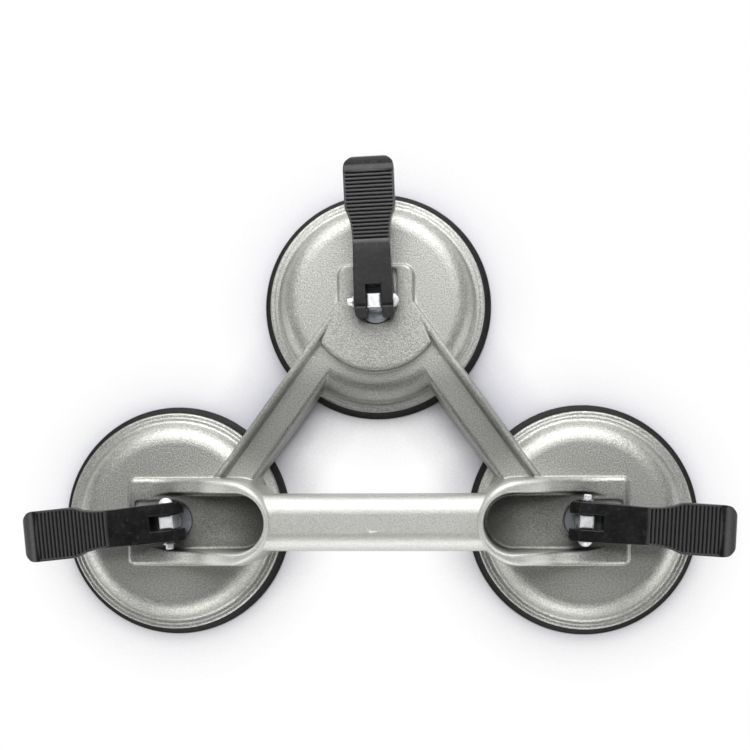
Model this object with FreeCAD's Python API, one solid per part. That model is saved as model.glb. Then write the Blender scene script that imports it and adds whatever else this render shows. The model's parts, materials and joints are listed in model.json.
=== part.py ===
import FreeCAD, Part
import os
from math import asin, atan2, cos, pi, radians, sin, sqrt

from FreeCAD import Placement, Rotation, Vector

os.makedirs("parts", exist_ok=True)

# ---------------------------------------------------------------- driving dimensions (mm, degrees)
# Z is up, the pads stand on z = 0, and every lever is locked: flat, with the middle of its pad pulled up.

# Layout of the three cups
CUP_SPACING = 210.4            # between the centres of the left and right cups
TOP_CUP_OFFSET = 111.2         # from their common line to the centre of the top cup
LEVER_YAW = {"left": 6.0, "right": -3.9, "top": 2.25}  # how far each lever is swivelled on its cup

# Suction pad, moulded rubber
PAD_RADIUS = 59.0
PAD_LIP = 1.6                  # thickness at the very edge
PAD_RIM = 5.6                  # thickness of the sealing ring
SEAL_INNER_RADIUS = 43.0       # inside of the flat sealing ring
SEAL_GROOVES = (47.0, 50.5, 54.0)
GROOVE_RADIUS = 0.6
BOSS_RADIUS = 22.0
BOSS_TOP = 12.4
BOSS_CHAMFER = 1.0
PULL_HEIGHT = 4.5              # how far a locked lever lifts the middle of the pad
MEMBRANE = 3.2
PAD_FOOT_CHAMFER = (0.4, 0.5)
PAD_RIM_SETBACK = 0.6          # the sealing ring ends this far inside the dish's rim

# Steel plate moulded into the pad, and the stud riveted to it
PLATE_RADIUS = 19.0
PLATE_BOTTOM = 7.8
PLATE_THICKNESS = 2.0
STUD_RADIUS = 4.9
STUD_SQUARE = 6.8
STUD_SHOULDER = 19.3           # where the round shank ends and the square begins
STUD_TOP = 37.5
STUD_CHAMFER = 0.8
STUD_COLLAR_RADIUS = 7.0
STUD_COLLAR = 1.2
RIVET_RADIUS = 3.0
RIVET_GAP = 0.05
EMBED_GAP = 0.1                # between the rubber and the steel inside it

# Die-cast frame: dishes
RIM_RADIUS = 55.7
RIM_BOTTOM = 6.0
RIM_TOP = 9.4
RIM_STEP_RADIUS = 53.2         # a fine step runs round the rim here
RIM_STEP = 0.3
RIM_EDGE = 0.8
RIM_FILLET = 1.8               # hollow round where the shoulder runs into the rim
DISH_TOP = 18.0
DISH_WALL = 3.5
SHOULDER_RADIUS = 11.1         # round of the dish between its flat top and its rim
SHOULDER_START = 40.0          # radius where the flat top ends
HUB_RADIUS = 12.0
HUB_BOTTOM = 13.2
DRAFT = 0.4                    # of the walls inside the dish
BORE_RADIUS = STUD_RADIUS + 0.08

# Decks: the raised pads round the studs, and the horseshoe walls of the left and right cups.
# Measured outwards from the cup's centre.
DECK_TOP = 22.0
DECK_END = 22.4
DECK_HALF_WIDTH = 22.1
DECK_CORNER = 3.2
DECK_EDGE = 2.2
WALL_END_CENTRE = -33.4        # centre of the wall's outer round end
WALL_TOP = 52.0
WALL_SLOPE = 0.057             # the outside of deck and wall leans in by this much per mm of height
RAMP_START = 12.0              # where the deck begins to rise
RAMP_END = -46.0               # where the rising wall reaches its full height
POCKET_START = 11.0
POCKET_END_CENTRE = -36.3
POCKET_FLOOR_HALF_WIDTH = 14.1
POCKET_TOP_HALF_WIDTH = 15.1
POCKET_EDGE = 1.6
WALL_INNER_EDGE = 1.2
CHANNEL_RADIUS = 11.0          # half the width of the groove that the lever's fork lies in
CHANNEL_CORNER = 2.0
CHANNEL_END = 19.2
TOP_CHANNEL_END = 18.0
TOP_DECK_HALF_WIDTH = 19.2
TOP_DECK_END = 19.7
TOP_DECK_CORNER = 6.0
TOP_DECK_ARC = 34.2            # radius of the deck's curved edge towards the handle
TOP_DECK_DRAFT = (0.7, 1.0)    # over the height of the deck: at its sides, and at its curved edge
TOP_DECK_FLARE = 15.4          # from its neck to where it is widest

# Handle bar
HANDLE_TOP = 49.0
HANDLE_BOTTOM = 32.0
HANDLE_HALF_WIDTH = 14.6
HANDLE_CROWN = 4.6             # half the width of its flat crown
HANDLE_LEAN = 0.9              # how far each side leans in below its rounded shoulder
HANDLE_EDGE = 1.5
HANDLE_WALL = 3.6
HANDLE_HOLLOW_EDGE = 5.0
HANDLE_HOLLOW = 45.0           # half the length of the hollow in its underside
HANDLE_RIBS = 5
RIB_THICKNESS = 2.2
RIB_SETBACK = 4.0              # from the underside of the bar up to the ribs
EJECTOR_MARK = 4.2
EJECTOR_DEPTH = 0.2

# Struts from the top cup to the horseshoe walls. These are x and y of the left one, measured from
# the middle of the lower cups' line, the top end first; the right one is its mirror image.
STRUT_OUTER = ((-19.2, 112.45), (-84.4, 21.0))   # top edge of the ridge along the outer side
STRUT_INNER = ((-30.4, 63.2), (-63.0, 18.0))     # foot of the inner side
RIDGE_WIDTHS = (3.9, 3.4)
RIDGE_DRAFT = 1.1
RIDGE_FLANK = 2.4              # run of its inner flank, down to the web
RIDGE_EDGE = 1.2
STRUT_ENDS = (84.0, 18.0)      # y of its two ends
STRUT_BOTTOM = 7.6
STRUT_WEB = 3.2
STRUT_WALL = 3.4
STRUT_DRAFT = 2.2
STRUT_EDGE = 2.6
STRUT_HOLLOW = (66.0, 42.0)    # y of the stretch whose underside is hollow

# Lever, moulded nylon: its side view is measured from the pivot, outwards and up
PIVOT_HEIGHT = 32.5
CAM_LOCKED = 13.0              # pivot to washer with the lever flat
CAM_HEEL = 7.5                 # outer end of the cam's flat
HEEL_TOP = (10.1, -9.9)
EAR_REST = -0.6                # top of the flat that the upright lever rests on
EAR_TOP_START = -3.3           # where the ears' top begins, behind the pivot
EAR_EDGE = 1.2
FORK_HALF_WIDTH = 9.8
LEVER_LENGTH = 74.3            # pivot to nose
LEVER_HALF_WIDTHS = ((-9.4, 8.2), (-5.3, FORK_HALF_WIDTH), (10.0, FORK_HALF_WIDTH), (28.0, 9.35),
                     (37.0, 9.75), (42.0, 10.8), (46.5, 12.6))
GRIP_HALF_WIDTH = 12.8
GRIP_START = 49.5
GRIP_CORNER = 6.5
LEVER_CROWN = 6.2              # top of the lever above the pivot
GRIP_STEP = 0.6                # the ribbed top lies this much lower
GRIP_STEP_RUN = 4.0
GRIP_UNDERSIDE = (32.0, -2.2)
SHANK_UNDERSIDE = (14.0, -9.4)
NOSE_START = -12.0             # the nose, measured from the lever's end
NOSE_TOP = ((-4.2, 3.3), (-0.6, 0.0))
NOSE_TIP = ((0.0, -2.8), (-3.2, -4.4))
NOSE_UNDERSIDE = -14.0
LEVER_SKIN = 2.6
LEVER_CORE = (14.2, -10.0)     # from the pivot to the core, and from the lever's end
LEVER_WEBS = (24.0, 35.0, 46.0, 56.0)
WEB_THICKNESS = 1.6
FORK_SLOT = 7.7
FORK_SLOT_END = 8.2
FORK_SLOT_CORNER = 1.5
RIB_START = 31.0
RIB_PITCH = 1.95
RIB_COUNT = 18
RIB_RADIUS = 0.75
RIB_DEPTH = 0.5

# Washer, pivot pin and its retaining clip
WASHER_RADIUS = 10.4
WASHER_THICKNESS = 1.5
WASHER_BORE = 5.15
WASHER_EDGE = 0.4
CAM_GAP = 0.15                 # between the cam and the washer
PIN_RADIUS = 2.0
PIN_HEAD_RADIUS = 3.5
PIN_HEAD = 2.6
PIN_TAIL = 3.8                 # how far the plain end stands out of the fork
PIN_CHAMFER = 0.5
PIN_PLAY = 0.05
CLIP_GROOVE = 1.6
CLIP_OFFSET = 0.5              # from the fork to the clip
CLIP_THICKNESS = 0.8
CLIP_RADII = (2.3, 3.1)
CLIP_TEETH = (0, 120, 240)
CLIP_TOOTH = 1.2
CLIP_MOUTH = 2.6

# Where the cups lie, with the origin under the middle of the whole lifter
CUP_LINE_Y = -(TOP_CUP_OFFSET + LEVER_LENGTH - PAD_RADIUS) / 2
CUPS = {
    "left": (Vector(-CUP_SPACING / 2, CUP_LINE_Y, 0), 180),
    "right": (Vector(CUP_SPACING / 2, CUP_LINE_Y, 0), 0),
    "top": (Vector(0, CUP_LINE_Y + TOP_CUP_OFFSET, 0), 90),
}
ORIGIN = Vector(0, 0, 0)
UP = Vector(0, 0, 1)
SIDEWAYS = Vector(0, 1, 0)


# ---------------------------------------------------------------- small helpers
def line(a, b):
    return Part.LineSegment(Vector(*a), Vector(*b)).toShape()


def arc(a, middle, b):
    return Part.Arc(Vector(*a), Vector(*middle), Vector(*b)).toShape()


def side_line(a, b):
    """A line in the XZ plane, from (x, z) to (x, z)."""
    return line((a[0], 0, a[1]), (b[0], 0, b[1]))


def side_arc(centre, radius, start, end):
    """An arc in the XZ plane about (x, z), between two angles from +X towards +Z."""
    turn = [radians(start), radians((start + end) / 2), radians(end)]
    a, middle, b = [(centre[0] + radius * cos(t), 0, centre[1] + radius * sin(t)) for t in turn]
    return arc(a, middle, b)


def side_path(points):
    """Straight edges in the XZ plane through (x, z) points."""
    return [side_line(a, b) for a, b in zip(points, points[1:])]


def s_curve(start, end):
    """Two equal tangent arcs in the XZ plane, level at both ends."""
    run, rise = end[0] - start[0], end[1] - start[1]
    bend = (run ** 2 + rise ** 2) / (4 * abs(rise))
    turn = 2 * atan2(abs(rise), abs(run)) * 180 / pi
    up, right = (1 if rise > 0 else -1), (1 if run > 0 else -1)
    first = 270 if up > 0 else 90
    sweep = turn * up * right
    return [
        side_arc((start[0], start[1] + up * bend), bend, first, first + sweep),
        side_arc((end[0], end[1] - up * bend), bend, first + 180 + sweep, first + 180),
    ]


def revolved(edges):
    """A solid turned about Z from edges in the XZ plane."""
    return Part.Face(Part.Wire(edges)).revolve(ORIGIN, UP, 360)


def cylinder(radius, bottom, top):
    return Part.makeCylinder(radius, top - bottom, Vector(0, 0, bottom))


def along_y(radius, start, end, centre=(0, 0)):
    """A cylinder along Y, about (x, z)."""
    return Part.makeCylinder(radius, end - start, Vector(centre[0], start, centre[1]), SIDEWAYS)


def box(low, high):
    size = Vector(*high) - Vector(*low)
    return Part.makeBox(size.x, size.y, size.z, Vector(*low))


def round_edges(shape, radius, chosen):
    """The shape with every edge that the test picks rounded off."""
    return shape.makeFillet(radius, [edge for edge in shape.Edges if chosen(edge)])


def on_cup(shape, cup, yaw=0.0):
    """Turn a shape drawn about a cup's centre, with +X outwards, and put it on its cup."""
    centre, heading = CUPS[cup]
    return shape.transformed(Placement(centre, Rotation(UP, heading + yaw)).toMatrix(), True)


def write(node, shape):
    shape.exportStep(f"parts/{node}.step")


# ---------------------------------------------------------------- die-cast frame
def dish():
    """One round cup of the frame, still solid: flat top, rounded shoulder, stepped rim."""
    step = RIM_TOP + RIM_STEP
    rise = step + RIM_FILLET - (DISH_TOP - SHOULDER_RADIUS)
    reach = SHOULDER_RADIUS + RIM_FILLET
    turn = asin(rise / reach) * 180 / pi
    fold = SHOULDER_START + sqrt(reach ** 2 - rise ** 2)
    rim = RIM_RADIUS - RIM_EDGE
    return revolved([
        side_line((0, DISH_TOP), (SHOULDER_START, DISH_TOP)),
        side_arc((SHOULDER_START, DISH_TOP - SHOULDER_RADIUS), SHOULDER_RADIUS, 90, turn),
        side_arc((fold, step + RIM_FILLET), RIM_FILLET, 180 + turn, 270),
        *side_path([(fold, step), (RIM_STEP_RADIUS, step), (RIM_STEP_RADIUS + RIM_STEP, RIM_TOP),
                    (rim, RIM_TOP)]),
        side_arc((rim, RIM_TOP - RIM_EDGE), RIM_EDGE, 90, 0),
        *side_path([(RIM_RADIUS, RIM_TOP - RIM_EDGE), (RIM_RADIUS, RIM_BOTTOM), (0, RIM_BOTTOM),
                    (0, DISH_TOP)]),
    ])


def dish_hollow():
    """The room inside a dish, cut from everything that crosses the dish."""
    inner = SHOULDER_RADIUS - DISH_WALL
    ceiling = DISH_TOP - DISH_WALL
    mouth = SHOULDER_START + inner
    return revolved([
        *side_path([(0, HUB_BOTTOM), (HUB_RADIUS, HUB_BOTTOM), (HUB_RADIUS + 1, ceiling),
                    (SHOULDER_START, ceiling)]),
        side_arc((SHOULDER_START, ceiling - inner), inner, 90, 0),
        *side_path([(mouth, ceiling - inner), (mouth + DRAFT, RIM_BOTTOM - 1), (0, RIM_BOTTOM - 1),
                    (0, HUB_BOTTOM)]),
    ])


def horseshoe_wire(z):
    """Outline of a deck and its wall: square-cornered outwards, round towards the handle."""
    inset = WALL_SLOPE * (z - DECK_TOP)
    half = DECK_HALF_WIDTH - inset
    end = DECK_END - inset
    c = DECK_CORNER
    k = c * (1 - cos(pi / 4))
    return Part.Wire([
        line((WALL_END_CENTRE, -half, z), (end - c, -half, z)),
        arc((end - c, -half, z), (end - k, -half + k, z), (end, -half + c, z)),
        line((end, -half + c, z), (end, half - c, z)),
        arc((end, half - c, z), (end - k, half - k, z), (end - c, half, z)),
        line((end - c, half, z), (WALL_END_CENTRE, half, z)),
        arc((WALL_END_CENTRE, half, z), (WALL_END_CENTRE - half, 0, z), (WALL_END_CENTRE, -half, z)),
    ])


def pocket_wire(half, z):
    """Outline of the hollow inside the horseshoe wall."""
    return Part.Wire([
        line((POCKET_END_CENTRE, -half, z), (POCKET_START, -half, z)),
        line((POCKET_START, -half, z), (POCKET_START, half, z)),
        line((POCKET_START, half, z), (POCKET_END_CENTRE, half, z)),
        arc((POCKET_END_CENTRE, half, z), (POCKET_END_CENTRE - half, 0, z), (POCKET_END_CENTRE, -half, z)),
    ])


def ramp_block():
    """Everything under the deck and under the S-shaped ramp that the wall's top follows."""
    reach = DECK_HALF_WIDTH + 5
    edges = [
        side_line((DECK_END + 5, DECK_TOP), (RAMP_START, DECK_TOP)),
        *s_curve((RAMP_START, DECK_TOP), (RAMP_END, WALL_TOP)),
        *side_path([(RAMP_END, WALL_TOP), (RAMP_END - 20, WALL_TOP), (RAMP_END - 20, 0),
                    (DECK_END + 5, 0), (DECK_END + 5, DECK_TOP)]),
    ]
    section = Part.Face(Part.Wire(edges))
    section.translate(Vector(0, -reach, 0))
    return section.extrude(Vector(0, 2 * reach, 0))


def horseshoe():
    """Deck of a left or right cup, with the wall that rises to the handle round a pocket."""
    block = Part.makeLoft([horseshoe_wire(RIM_TOP - 2), horseshoe_wire(WALL_TOP + 1)], True)
    block = block.common(ramp_block())
    block = round_edges(block, DECK_EDGE, lambda e: e.BoundBox.ZMin > DECK_TOP - 0.1)
    pocket = Part.makeLoft([pocket_wire(POCKET_FLOOR_HALF_WIDTH, DECK_TOP),
                            pocket_wire(POCKET_TOP_HALF_WIDTH, WALL_TOP + 1)], True)
    pocket = round_edges(pocket, POCKET_EDGE,
                         lambda e: e.BoundBox.ZMax < DECK_TOP + 0.1 and e.BoundBox.XMin < POCKET_START - 1)
    horseshoe = block.cut(pocket)
    reach = POCKET_TOP_HALF_WIDTH + 0.1
    pocket_end = POCKET_END_CENTRE - POCKET_TOP_HALF_WIDTH - 0.1
    return round_edges(horseshoe, WALL_INNER_EDGE,
                       lambda e: e.BoundBox.ZMax > DECK_TOP + 2 and e.BoundBox.XLength > 3
                       and e.BoundBox.XMin > pocket_end and abs(e.CenterOfMass.y) < reach)


def lever_channel(end):
    """Groove in a deck, round about the stud and closed outwards."""
    outer = box((0, -CHANNEL_RADIUS, DISH_TOP), (end, CHANNEL_RADIUS, DECK_TOP + 1))
    outer = round_edges(outer, CHANNEL_CORNER, lambda e: e.BoundBox.XMin > end - 0.1 and e.BoundBox.ZLength > 1)
    return cylinder(CHANNEL_RADIUS, DISH_TOP, DECK_TOP + 1).fuse(outer).removeSplitter()


def on_line(ends, y):
    """x at the given y on the straight line between two (x, y) ends."""
    (x0, y0), (x1, y1) = ends
    return x0 + (x1 - x0) * (y - y0) / (y1 - y0)


def top_deck_wire(inset, arc_inset, z):
    """Outline of the top cup's deck: it widens between the struts and ends in an arc."""
    half = TOP_DECK_HALF_WIDTH + inset
    end = TOP_DECK_END + inset
    radius = TOP_DECK_ARC + arc_inset
    c = TOP_DECK_CORNER
    k = c * (1 - cos(pi / 4))
    neck = STRUT_OUTER[0][1] - TOP_CUP_OFFSET
    wide = -on_line(STRUT_OUTER, STRUT_OUTER[0][1] - TOP_DECK_FLARE) + inset - RIDGE_WIDTHS[0] / 2
    back = -sqrt(radius ** 2 - wide ** 2)
    return Part.Wire([
        line((neck, -half, z), (end - c, -half, z)),
        arc((end - c, -half, z), (end - k, -half + k, z), (end, -half + c, z)),
        line((end, -half + c, z), (end, half - c, z)),
        arc((end, half - c, z), (end - k, half - k, z), (end - c, half, z)),
        line((end - c, half, z), (neck, half, z)),
        line((neck, half, z), (back, wide, z)),
        arc((back, wide, z), (-radius, 0, z), (back, -wide, z)),
        line((back, -wide, z), (neck, -half, z)),
    ])


def top_deck():
    side, front = TOP_DECK_DRAFT
    height = DECK_TOP - DISH_TOP
    foot = DISH_TOP - height / 2
    deck = Part.makeLoft([top_deck_wire(side * 1.5, front * 1.5, foot), top_deck_wire(0, 0, DECK_TOP)], True)
    return round_edges(deck, RIDGE_EDGE, lambda e: e.BoundBox.ZMin > DECK_TOP - 0.1)


def strut_section(points, y):
    return Part.makePolygon([Vector(x, y, z) for x, z in points + points[:1]])


def strut():
    """Left strut: a low web with a ridge along its outer side, hollow from below."""
    ridge, web = [], []
    for y, width in zip((STRUT_OUTER[0][1], STRUT_ENDS[1]), RIDGE_WIDTHS):
        x = on_line(STRUT_OUTER, y)
        flank = x + width + RIDGE_FLANK
        ridge.append(strut_section([(x - RIDGE_DRAFT, STRUT_BOTTOM), (x, DECK_TOP), (x + width, DECK_TOP),
                                    (flank, DISH_TOP), (flank, STRUT_BOTTOM)], y))
    for y in STRUT_ENDS:
        outer = on_line(STRUT_OUTER, y) + RIDGE_DRAFT
        inner = on_line(STRUT_INNER, y)
        web.append(strut_section([(outer, STRUT_BOTTOM), (outer, DISH_TOP), (inner - STRUT_DRAFT, DISH_TOP),
                                  (inner, STRUT_BOTTOM)], y))
    ridge = round_edges(Part.makeLoft(ridge, True), RIDGE_EDGE,
                        lambda e: e.BoundBox.ZMin > DECK_TOP - 0.1 and e.BoundBox.YLength > 20)
    web = round_edges(Part.makeLoft(web, True), STRUT_EDGE,
                      lambda e: e.BoundBox.ZMin > DISH_TOP - 0.1 and e.BoundBox.YLength > 20
                      and e.BoundBox.XMax > on_line(STRUT_INNER, STRUT_ENDS[0]) - 4)
    hollow = []
    for y in STRUT_HOLLOW:
        outer = on_line(STRUT_OUTER, y) + STRUT_WALL
        inner = on_line(STRUT_INNER, y) - STRUT_WALL
        top = DISH_TOP - STRUT_WEB
        hollow.append(strut_section([(outer - RIDGE_DRAFT, 0), (outer, top), (inner - STRUT_DRAFT, top),
                                     (inner, 0)], y))
    return ridge.fuse(web).cut(Part.makeLoft(hollow, True))


def handle():
    """Bar between the two horseshoe walls: a rounded inverted channel with cross ribs."""
    shoulder = HANDLE_HALF_WIDTH - HANDLE_CROWN - HANDLE_LEAN
    bend = HANDLE_TOP - shoulder
    reach = CUP_SPACING / 2 + WALL_END_CENTRE
    w, c = HANDLE_HALF_WIDTH, HANDLE_CROWN
    q = shoulder * sin(pi / 4)
    section = Part.Wire([
        line((-reach, -w, HANDLE_BOTTOM), (-reach, -c - shoulder, bend)),
        arc((-reach, -c - shoulder, bend), (-reach, -c - q, bend + q), (-reach, -c, HANDLE_TOP)),
        line((-reach, -c, HANDLE_TOP), (-reach, c, HANDLE_TOP)),
        arc((-reach, c, HANDLE_TOP), (-reach, c + q, bend + q), (-reach, c + shoulder, bend)),
        line((-reach, c + shoulder, bend), (-reach, w, HANDLE_BOTTOM)),
        line((-reach, w, HANDLE_BOTTOM), (-reach, -w, HANDLE_BOTTOM)),
    ])
    bar = Part.Face(section).extrude(Vector(2 * reach, 0, 0))
    bar = round_edges(bar, HANDLE_EDGE,
                      lambda e: e.BoundBox.ZMax < HANDLE_BOTTOM + 0.1 and e.BoundBox.XLength > reach)
    inside = w - HANDLE_WALL
    hollow = box((-HANDLE_HOLLOW, -inside, HANDLE_BOTTOM - 1),
                 (HANDLE_HOLLOW, inside, HANDLE_TOP - HANDLE_WALL))
    hollow = round_edges(hollow, HANDLE_HOLLOW_EDGE,
                         lambda e: e.BoundBox.ZMin > HANDLE_TOP - HANDLE_WALL - 0.1
                         and e.BoundBox.XLength > HANDLE_HOLLOW)
    pitch = 2 * HANDLE_HOLLOW / (HANDLE_RIBS + 1)
    for i in range(HANDLE_RIBS):
        x = -HANDLE_HOLLOW + (i + 1) * pitch
        hollow = hollow.cut(box((x - RIB_THICKNESS / 2, -w, HANDLE_BOTTOM + RIB_SETBACK),
                                (x + RIB_THICKNESS / 2, w, HANDLE_TOP)))
    mark = cylinder(EJECTOR_MARK, HANDLE_TOP - EJECTOR_DEPTH, HANDLE_TOP + 1)
    wall_outside = WALL_SLOPE * (WALL_TOP - DECK_TOP) - DECK_HALF_WIDTH + WALL_END_CENTRE
    inset = (POCKET_END_CENTRE - POCKET_TOP_HALF_WIDTH - wall_outside) / 2
    ends = [Part.makeCylinder(POCKET_TOP_HALF_WIDTH + inset, WALL_TOP,
                              Vector(side * (CUP_SPACING / 2 + POCKET_END_CENTRE), 0, 0))
            for side in (-1, 1)]
    return bar.cut(hollow).cut(mark).cut(Part.makeCompound(ends))


def frame_casting():
    """The one-piece frame: three dishes, two struts and the handle."""
    solids = []
    for cup in CUPS:
        solids.append(on_cup(dish(), cup))
        solids.append(on_cup(top_deck() if cup == "top" else horseshoe(), cup))
    left = strut()
    right = left.mirror(ORIGIN, Vector(1, 0, 0))
    for piece in (left, right, handle()):
        piece.translate(Vector(0, CUP_LINE_Y, 0))
        solids.append(piece)
    casting = solids[0].fuse(solids[1:])
    cutters = []
    for cup in CUPS:
        channel = lever_channel(TOP_CHANNEL_END if cup == "top" else CHANNEL_END)
        cutters += [on_cup(dish_hollow(), cup), on_cup(channel, cup),
                    on_cup(cylinder(BORE_RADIUS, HUB_BOTTOM - 1, DISH_TOP + 1), cup)]
    return casting.cut(cutters).removeSplitter()


# ---------------------------------------------------------------- suction pad, plate and stud
def suction_pad():
    """Rubber pad: a flat grooved sealing ring, a domed membrane, and a boss round its plate."""
    dome = BOSS_RADIUS - 4
    rise = MEMBRANE + PULL_HEIGHT
    rim = RIM_RADIUS - PAD_RIM_SETBACK
    foot_x, foot_z = PAD_FOOT_CHAMFER
    top = BOSS_RADIUS - BOSS_CHAMFER
    pad = revolved([
        side_line((0, PULL_HEIGHT), (dome, PULL_HEIGHT)),
        *s_curve((dome, PULL_HEIGHT), (SEAL_INNER_RADIUS, 0)),
        *side_path([(SEAL_INNER_RADIUS, 0), (PAD_RADIUS - foot_x, 0), (PAD_RADIUS, foot_z),
                    (PAD_RADIUS, PAD_LIP), (rim, PAD_RIM), (SEAL_INNER_RADIUS + 2, PAD_RIM)]),
        *s_curve((SEAL_INNER_RADIUS + 2, PAD_RIM), (BOSS_RADIUS + 1, rise)),
        *side_path([(BOSS_RADIUS + 1, rise), (BOSS_RADIUS, BOSS_TOP - BOSS_CHAMFER), (top, BOSS_TOP),
                    (0, BOSS_TOP), (0, PULL_HEIGHT)]),
    ])
    grooves = [Part.makeTorus(radius, GROOVE_RADIUS, Vector(0, 0, -GROOVE_RADIUS / 3)) for radius in SEAL_GROOVES]
    plate = cylinder(PLATE_RADIUS + EMBED_GAP, PLATE_BOTTOM - EMBED_GAP, PLATE_BOTTOM + PLATE_THICKNESS + EMBED_GAP)
    collar = cylinder(STUD_COLLAR_RADIUS + EMBED_GAP, PLATE_BOTTOM,
                      PLATE_BOTTOM + PLATE_THICKNESS + STUD_COLLAR + EMBED_GAP)
    shank = cylinder(STUD_RADIUS + EMBED_GAP, PLATE_BOTTOM, BOSS_TOP + 1)
    return pad.cut(grooves + [plate, collar, shank])


def insert_plate():
    """Steel disc inside the pad's boss, with a hole for the stud's rivet end."""
    disc = cylinder(PLATE_RADIUS, PLATE_BOTTOM, PLATE_BOTTOM + PLATE_THICKNESS)
    return disc.cut(cylinder(RIVET_RADIUS + RIVET_GAP, 0, BOSS_TOP))


def pull_stud():
    """Turned stud: riveted foot, collar, round shank, and a square head drilled for the pivot pin."""
    plate_top = PLATE_BOTTOM + PLATE_THICKNESS
    half = STUD_SQUARE / 2
    square = box((-half, -half, STUD_SHOULDER), (half, half, STUD_TOP))
    square = square.makeChamfer(STUD_CHAMFER, [e for e in square.Edges if e.BoundBox.ZMin > STUD_TOP - 0.1])
    stud = cylinder(RIVET_RADIUS, PLATE_BOTTOM, plate_top).fuse([
        cylinder(STUD_COLLAR_RADIUS, plate_top, plate_top + STUD_COLLAR),
        cylinder(STUD_RADIUS, plate_top, STUD_SHOULDER),
        square,
    ])
    hole = along_y(PIN_RADIUS + PIN_PLAY, -half - 1, half + 1, (0, PIVOT_HEIGHT))
    return stud.cut(hole).removeSplitter()


def bearing_washer():
    """Hardened washer that the cam presses on, in the round end of the deck's groove."""
    disc = cylinder(WASHER_RADIUS, DISH_TOP, DISH_TOP + WASHER_THICKNESS)
    disc = round_edges(disc, WASHER_EDGE, lambda e: e.BoundBox.ZMin > DISH_TOP + WASHER_THICKNESS - 0.1)
    return disc.cut(cylinder(WASHER_BORE, 0, DECK_TOP))


# ---------------------------------------------------------------- lever, pin and clip
def cam_curve():
    """The cam's corner: its reach falls evenly from locked to free as the lever turns up."""
    steps = 8
    fall = PULL_HEIGHT / (pi / 2)
    points = []
    for i in range(steps + 1):
        t = pi / 2 * i / steps
        reach = CAM_LOCKED - CAM_GAP - fall * t
        points.append(Vector(fall * cos(t) - reach * sin(t), 0, -reach * cos(t) - fall * sin(t)))
    curve = Part.BSplineCurve()
    curve.interpolate(Points=points, InitialTangent=Vector(-1, 0, 0), FinalTangent=Vector(0, 0, 1))
    return curve.toShape(), points[0], points[-1]


def lever_side():
    """Side view of the lever about its pivot: cam, fork, shank, grip and drooping nose."""
    curve, flat, back = cam_curve()
    grip_top = LEVER_CROWN - GRIP_STEP
    nose, shoulder, brow, tip, chin = [
        (LEVER_LENGTH + x, z) for x, z in ((NOSE_START, grip_top), *NOSE_TOP, *NOSE_TIP)]
    under = (LEVER_LENGTH + NOSE_UNDERSIDE, GRIP_UNDERSIDE[1])
    droop = [arc((a[0], 0, a[1]), (b[0], 0, b[1]), (c[0], 0, c[1]))
             for a, b, c in ((nose, shoulder, brow), (brow, tip, chin))]
    return Part.Face(Part.Wire([
        curve,
        *side_path([(back.x, back.z), (back.x, EAR_REST), (EAR_TOP_START, LEVER_CROWN),
                    (RIB_START - GRIP_STEP_RUN, LEVER_CROWN)]),
        *s_curve((RIB_START - GRIP_STEP_RUN, LEVER_CROWN), (RIB_START, grip_top)),
        side_line((RIB_START, grip_top), nose),
        *droop,
        *s_curve(chin, under),
        side_line(under, GRIP_UNDERSIDE),
        *s_curve(GRIP_UNDERSIDE, SHANK_UNDERSIDE),
        *side_path([SHANK_UNDERSIDE, HEEL_TOP, (CAM_HEEL, flat.z), (flat.x, flat.z)]),
    ]))


def lever_plan():
    """Plan view of the lever: clipped ears, parallel fork, slim waist, and a broad round-cornered grip."""
    stations = [Vector(x, w, 0) for x, w in LEVER_HALF_WIDTHS]
    flank = Part.BSplineCurve()
    flank.interpolate(stations[2:])
    c, g, end = GRIP_CORNER, GRIP_HALF_WIDTH, LEVER_LENGTH
    k = c * (1 - cos(pi / 4))
    sides = [
        line(stations[0], stations[1]),
        line(stations[1], stations[2]),
        flank.toShape(),
        line(stations[-1], (GRIP_START, g, 0)),
        line((GRIP_START, g, 0), (end - c, g, 0)),
        arc((end - c, g, 0), (end - k, g - k, 0), (end, g - c, 0)),
    ]
    mirrored = [edge.mirror(ORIGIN, SIDEWAYS) for edge in sides]
    back_x, back_y = LEVER_HALF_WIDTHS[0]
    caps = [line((end, g - c, 0), (end, c - g, 0)), line((back_x, -back_y, 0), (back_x, back_y, 0))]
    return Part.Face(Part.Wire(Part.__sortEdges__(sides + mirrored + caps)))


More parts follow.
